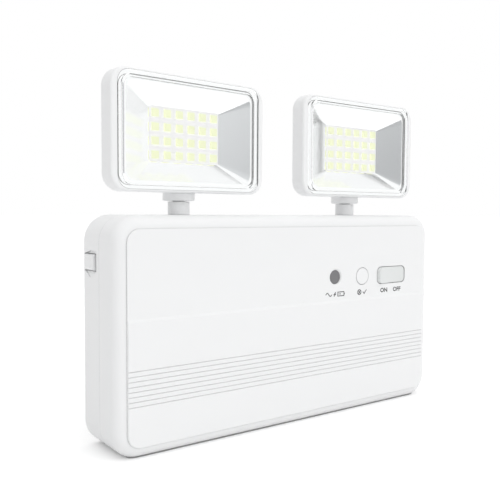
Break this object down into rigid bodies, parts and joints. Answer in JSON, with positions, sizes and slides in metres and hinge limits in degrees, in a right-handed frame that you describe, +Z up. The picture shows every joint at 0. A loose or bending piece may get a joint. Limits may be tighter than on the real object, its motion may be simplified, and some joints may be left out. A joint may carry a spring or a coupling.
{
  "type": "twin-head emergency light",
  "caption": "White twin-head LED emergency light: a battery box with test button, indicator and rocker switch, and lamp heads on ball swivels.",
  "frame": {"origin": "middle of the flat base, half way through the case's depth", "axes": "+X to the right seen from the front, +Y backwards to the wall, +Z up"},
  "size_m": [0.272, 0.0479, 0.228],
  "materials": {
    "white_shell": "fine satin moulded texture",
    "white_control": "smooth moulded",
    "smoked_lens": "smooth, dark",
    "clear_lens": "clear polycarbonate",
    "mirror_tray": "bright metallised plastic",
    "white_board": "white solder mask on an aluminium core",
    "led_phosphor": "pale yellow-green phosphor",
    "green_board": "solder mask",
    "screw_steel": "zinc plated",
    "black_rubber": "matt",
    "laminated_core": "varnished laminations and taped winding",
    "black_case": "smooth moulded",
    "can_sleeve": "shrink sleeve",
    "grey_block": "moulded",
    "cell_sleeve": "shrink sleeve",
    "nylon": "plain moulded"
  },
  "bodies": {
    "case": {"front_cover": "white_shell", "rear_shell": "white_shell", "case_screws": "screw_steel", "cable_grommet": "black_rubber", "indicator_lens": "smoked_lens", "indicator_led": "led_phosphor", "test_switch": "black_case", "rocker_switch": "black_case", "control_board": "green_board", "control_board_screws": "screw_steel", "main_board": "green_board", "transformer": "laminated_core", "relay": "black_case", "capacitors": "can_sleeve", "terminal_block": "grey_block", "battery_pack": "cell_sleeve", "battery_strap": "nylon", "strap_screws": "screw_steel", "post_washer_left": "nylon", "post_washer_right": "nylon"},
    "test_button": {"test_button": "white_control", "test_plunger": "black_case"},
    "power_rocker": {"power_rocker": "white_control"},
    "post_left": {"post_left": "white_shell", "post_clip_left": "screw_steel"},
    "head_left": {"socket_collar_left": "white_shell", "head_housing_left": "white_shell", "lens_left": "clear_lens", "reflector_left": "mirror_tray", "led_board_left": "white_board", "led_chips_left": "led_phosphor"},
    "post_right": {"post_right": "white_shell", "post_clip_right": "screw_steel"},
    "head_right": {"socket_collar_right": "white_shell", "head_housing_right": "white_shell", "lens_right": "clear_lens", "reflector_right": "mirror_tray", "led_board_right": "white_board", "led_chips_right": "led_phosphor"}
  },
  "joints": [
    {"name": "test_button_press", "type": "slide", "parent": "case", "child": "test_button", "axis": [0, 1, 0], "range_m": [0, 0.0015], "stiffness_N_per_m": 400, "springref_m": -0.0012},
    {"name": "power_rocker_tip", "type": "hinge", "parent": "case", "child": "power_rocker", "pos_m": [0.091, -0.0165, 0.09745], "axis": [0, 0, 1], "range_deg": [-10, 0]},
    {"name": "head_pan_left", "type": "hinge", "parent": "case", "child": "post_left", "pos_m": [-0.0742, 0.0113, 0.142], "axis": [0, 0, 1], "range_deg": [-130, 130]},
    {"name": "head_tilt_left", "type": "hinge", "parent": "post_left", "child": "head_left", "pos_m": [-0.0742, 0.0113, 0.1575], "axis": [0.9965, 0.0837, 0], "range_deg": [-12, 12]},
    {"name": "head_pan_right", "type": "hinge", "parent": "case", "child": "post_right", "pos_m": [0.0742, 0.0113, 0.142], "axis": [0, 0, 1], "range_deg": [-130, 130]},
    {"name": "head_tilt_right", "type": "hinge", "parent": "post_right", "child": "head_right", "pos_m": [0.0742, 0.0113, 0.1575], "axis": [0.9997, 0.0227, 0], "range_deg": [-12, 12]}
  ]
}
